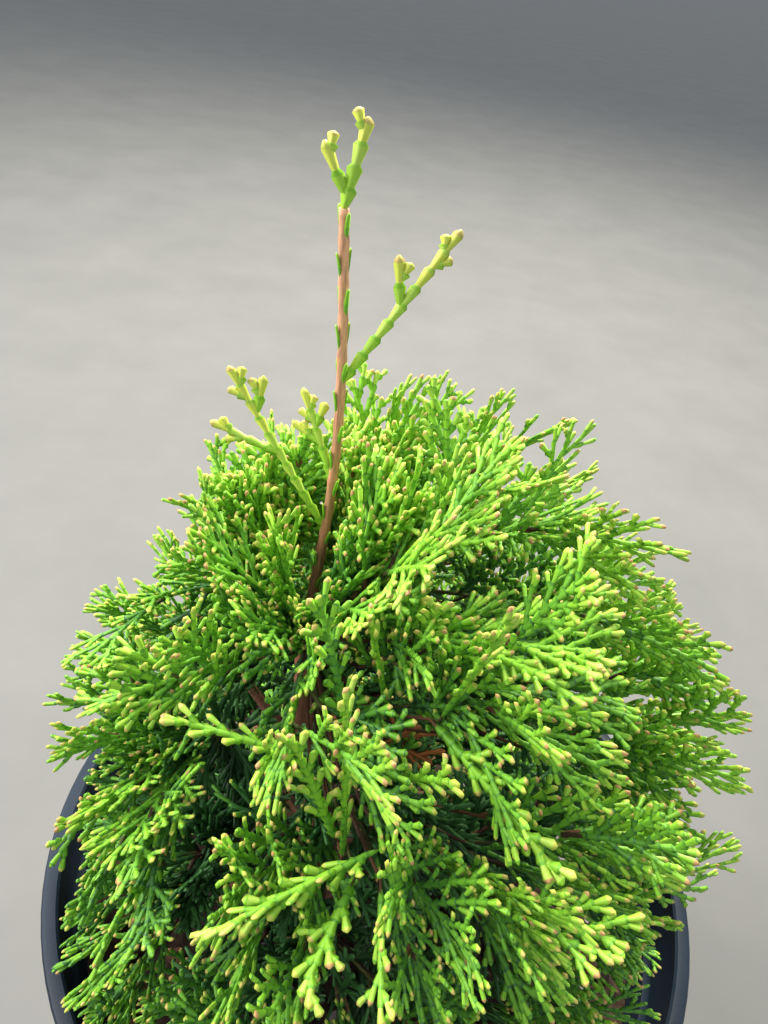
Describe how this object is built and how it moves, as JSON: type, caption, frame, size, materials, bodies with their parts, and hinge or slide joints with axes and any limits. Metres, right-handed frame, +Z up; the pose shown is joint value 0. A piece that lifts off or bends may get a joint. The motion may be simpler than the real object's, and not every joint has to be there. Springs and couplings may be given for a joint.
{
  "type": "potted thuja",
  "caption": "Young thuja in a round black nursery pot, a dense mound of flat fern-like sprays with a bare leader standing out of its top.",
  "frame": {"origin": "middle of the flat underside of the pot", "axes": "+Z up along the pot and the leader, -Y towards the front of the plant, +X to the right seen from the front"},
  "size_m": [0.23, 0.2348, 0.43],
  "materials": {
    "pot": "satin",
    "soil": "rough",
    "bark": "rough",
    "foliage": "matte",
    "leader_foliage": "matte"
  },
  "bodies": {
    "root": {"pot": "pot", "soil": "soil", "trunk": "bark", "low_bough_1": "bark", "low_bough_2": "bark", "low_bough_3": "bark", "low_bough_4": "bark", "low_bough_5": "bark", "low_bough_6": "bark", "middle_bough_1": "bark", "middle_bough_2": "bark", "middle_bough_3": "bark", "middle_bough_4": "bark", "middle_bough_5": "bark", "middle_bough_6": "bark", "upper_bough_1": "bark", "upper_bough_2": "bark", "upper_bough_3": "bark", "upper_bough_4": "bark", "upper_bough_5": "bark", "top_bough_1": "bark", "top_bough_2": "bark", "top_bough_3": "bark", "low_mass_1": "foliage", "low_mass_2": "foliage", "low_mass_3": "foliage", "low_mass_4": "foliage", "low_mass_5": "foliage", "low_mass_6": "foliage", "middle_mass_1": "foliage", "middle_mass_2": "foliage", "middle_mass_3": "foliage", "middle_mass_4": "foliage", "middle_mass_5": "foliage", "middle_mass_6": "foliage", "upper_mass_1": "foliage", "upper_mass_2": "foliage", "upper_mass_3": "foliage", "upper_mass_4": "foliage", "upper_mass_5": "foliage", "top_mass_1": "foliage", "top_mass_2": "foliage", "top_mass_3": "foliage", "leader_spray_tip": "leader_foliage", "leader_spray_right": "leader_foliage", "leader_spray_left": "leader_foliage", "leader_spray_inner": "leader_foliage"}
  },
  "joints": []
}
